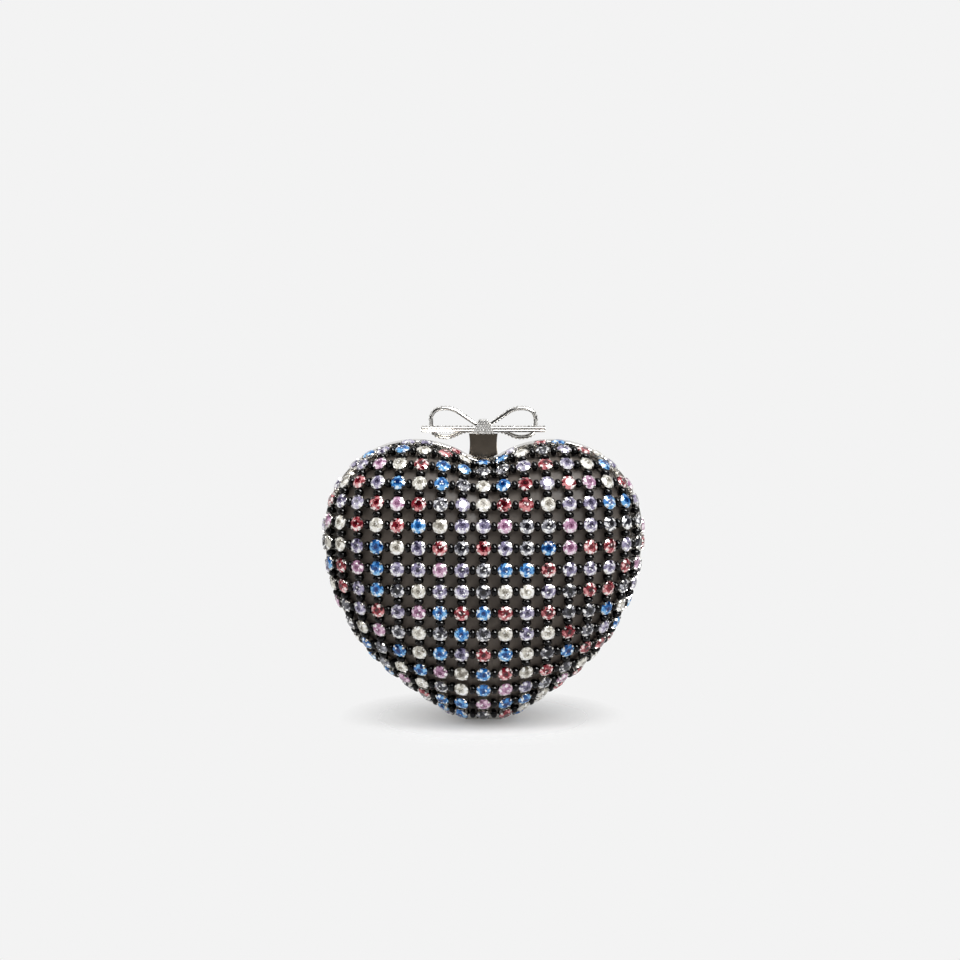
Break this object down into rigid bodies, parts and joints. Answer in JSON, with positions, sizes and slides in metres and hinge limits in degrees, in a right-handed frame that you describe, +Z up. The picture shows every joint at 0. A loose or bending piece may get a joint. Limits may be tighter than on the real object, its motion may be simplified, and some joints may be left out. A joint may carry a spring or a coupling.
{
  "type": "heart shaped purse",
  "caption": "Heart shaped hard evening purse: two domed halves under a net of stones and beads, hinged at the tip and held shut by a tilting clasp with a bow.",
  "frame": {"origin": "middle of the flat tip that the purse stands on, on the parting plane of the two halves", "axes": "-Y out of the front of the purse, +Z up from the tip to the notch, +X to the right seen from the front"},
  "size_m": [0.1156, 0.0708, 0.1132],
  "materials": {
    "frame": "polished silver plating",
    "shell": "satin dark taupe",
    "lining": "soft dark lining",
    "hinge": "plain steel",
    "clasp_plate": "polished dark plating",
    "bow": "polished silver plating",
    "bow_crystal": "tiny cut glass",
    "stone_cup": "polished silver plating",
    "bead": "glossy black",
    "stone_clear": "cut glass with a foiled back",
    "stone_sapphire": "cut glass with a foiled back",
    "stone_lavender": "cut glass with a foiled back",
    "stone_rose": "cut glass with a foiled back",
    "stone_pink": "cut glass with a foiled back",
    "stone_smoke": "cut glass with a foiled back"
  },
  "bodies": {
    "back_half": {"back_rim": "frame", "back_shell": "shell", "back_lining": "lining", "back_hinge_leaf": "hinge", "hinge_pin": "hinge", "clasp_bracket": "hinge", "clasp_pin": "hinge", "clasp_spring": "hinge", "back_stone_cups": "stone_cup", "back_beads": "bead", "back_stones_clear": "stone_clear", "back_stones_sapphire": "stone_sapphire", "back_stones_lavender": "stone_lavender", "back_stones_rose": "stone_rose", "back_stones_pink": "stone_pink", "back_stones_smoke": "stone_smoke"},
    "front_half": {"front_rim": "frame", "front_shell": "shell", "front_lining": "lining", "front_hinge_leaf": "hinge", "front_stone_cups": "stone_cup", "front_beads": "bead", "front_stones_clear": "stone_clear", "front_stones_sapphire": "stone_sapphire", "front_stones_lavender": "stone_lavender", "front_stones_rose": "stone_rose", "front_stones_pink": "stone_pink", "front_stones_smoke": "stone_smoke", "clasp_strike": "hinge"},
    "clasp": {"clasp_lever": "clasp_plate", "bow_knot": "bow", "bow_tails": "bow", "bow_loops": "bow", "bow_crystals": "bow_crystal"}
  },
  "joints": [
    {"name": "lid_hinge", "type": "hinge", "parent": "back_half", "child": "front_half", "pos_m": [0, 0, 0.002], "axis": [1, 0, 0], "range_deg": [0, 110]},
    {"name": "clasp_tilt", "type": "hinge", "parent": "back_half", "child": "clasp", "pos_m": [0, 0.0036, 0.09629], "axis": [-1, 0, 0], "range_deg": [0, 12], "stiffness_Nm_per_rad": 0.05, "springref_deg": -11.46}
  ]
}
